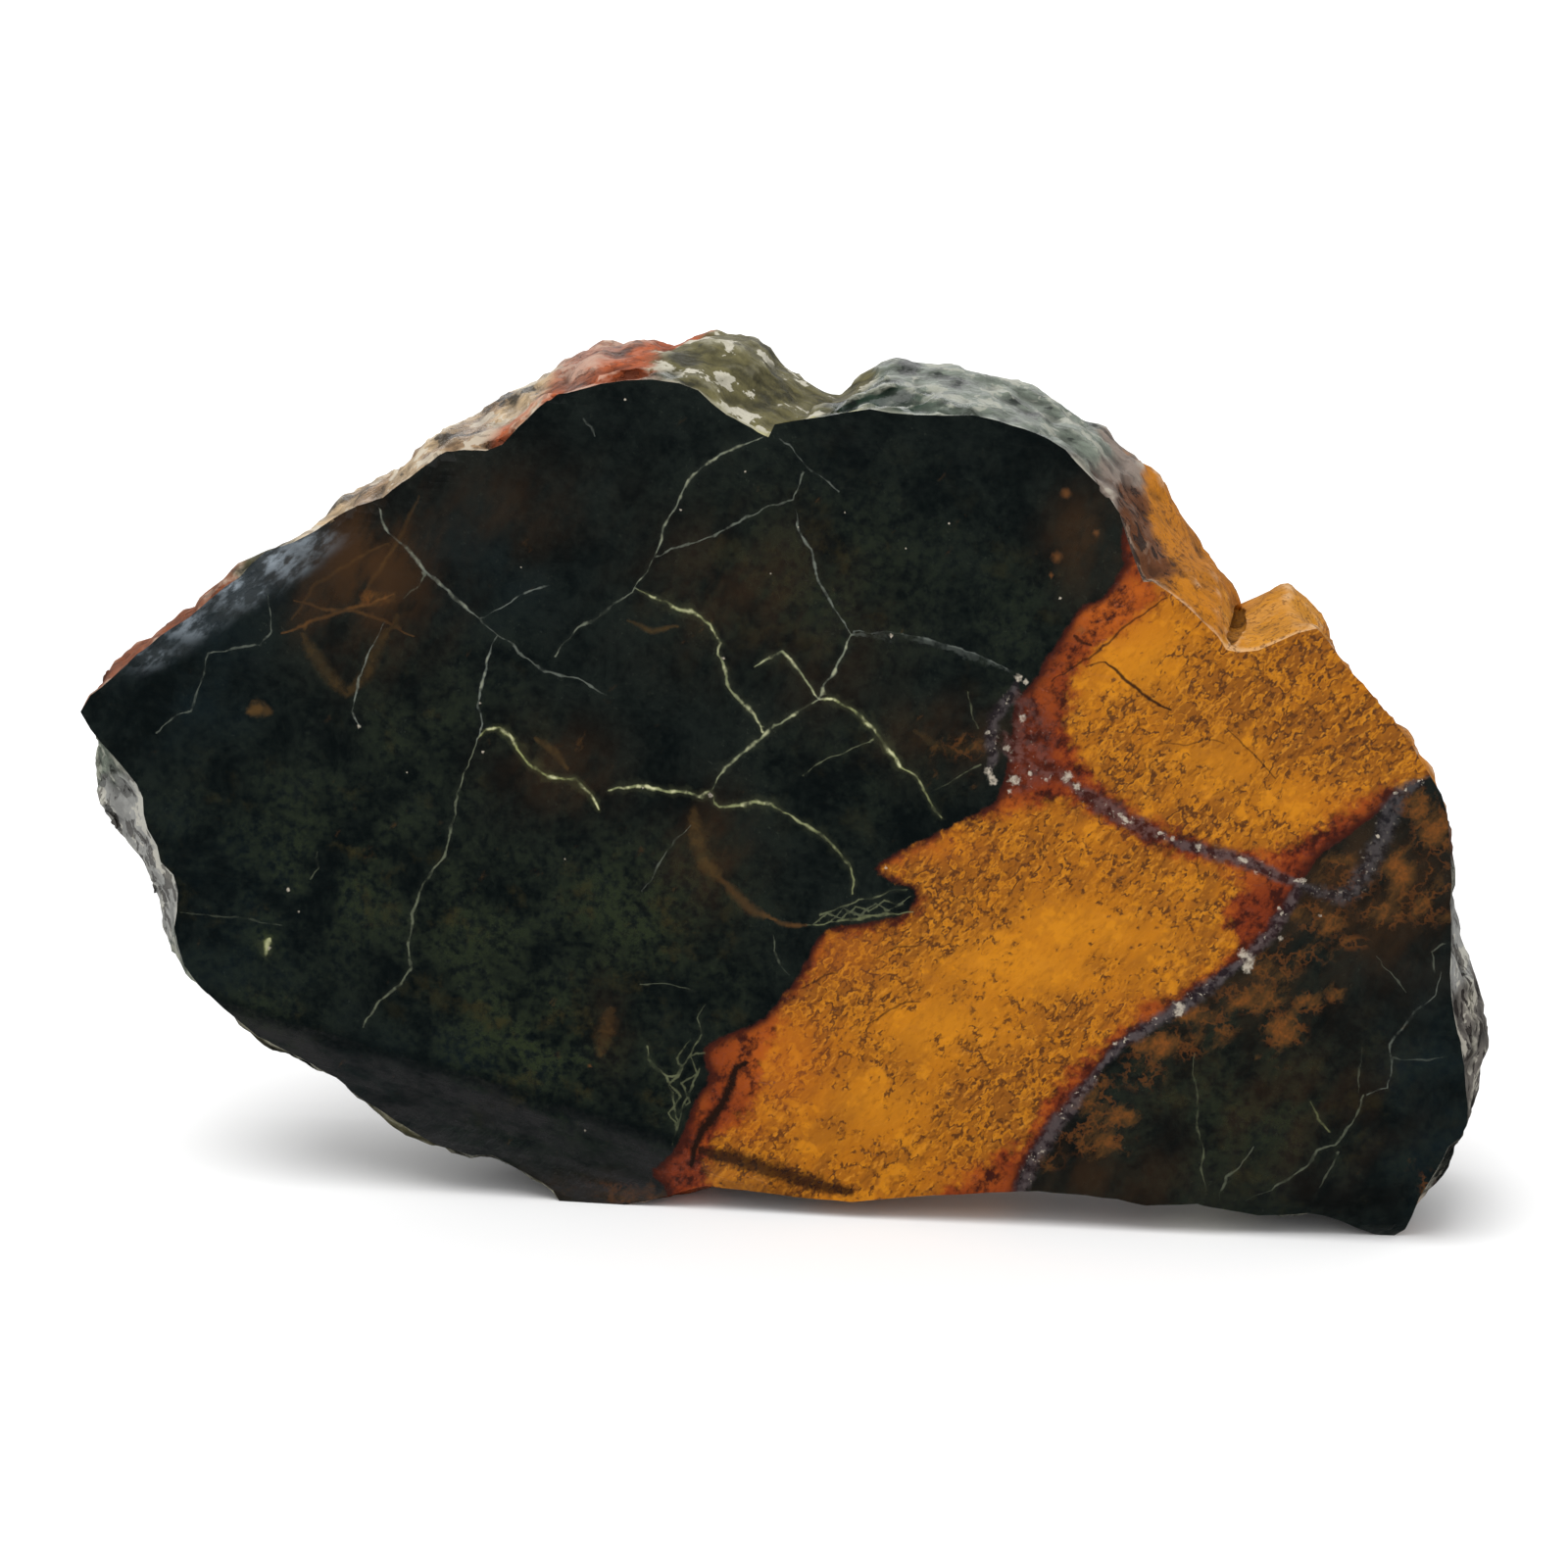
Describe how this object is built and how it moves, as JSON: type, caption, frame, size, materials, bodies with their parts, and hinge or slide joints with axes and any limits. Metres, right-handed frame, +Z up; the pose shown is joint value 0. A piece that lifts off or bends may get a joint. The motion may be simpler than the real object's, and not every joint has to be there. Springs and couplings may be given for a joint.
{
  "type": "agate slab",
  "caption": "Thick slab of dark and ochre stone with a polished face, a sawn back and rough broken edges, standing on its lower edge.",
  "frame": {"origin": "on the floor under the middle of the slab", "axes": "+X to the right along the length as seen on the polished face, +Y from the polished face to the sawn back, +Z up"},
  "size_m": [0.1431, 0.023, 0.088],
  "materials": {
    "stone": "polished on the front face, sawn matt on the back, rough broken round the edge; near-black green with a yellow ochre band, red rims and pale veins"
  },
  "bodies": {
    "root": {"agate_slab": "stone"}
  },
  "joints": []
}
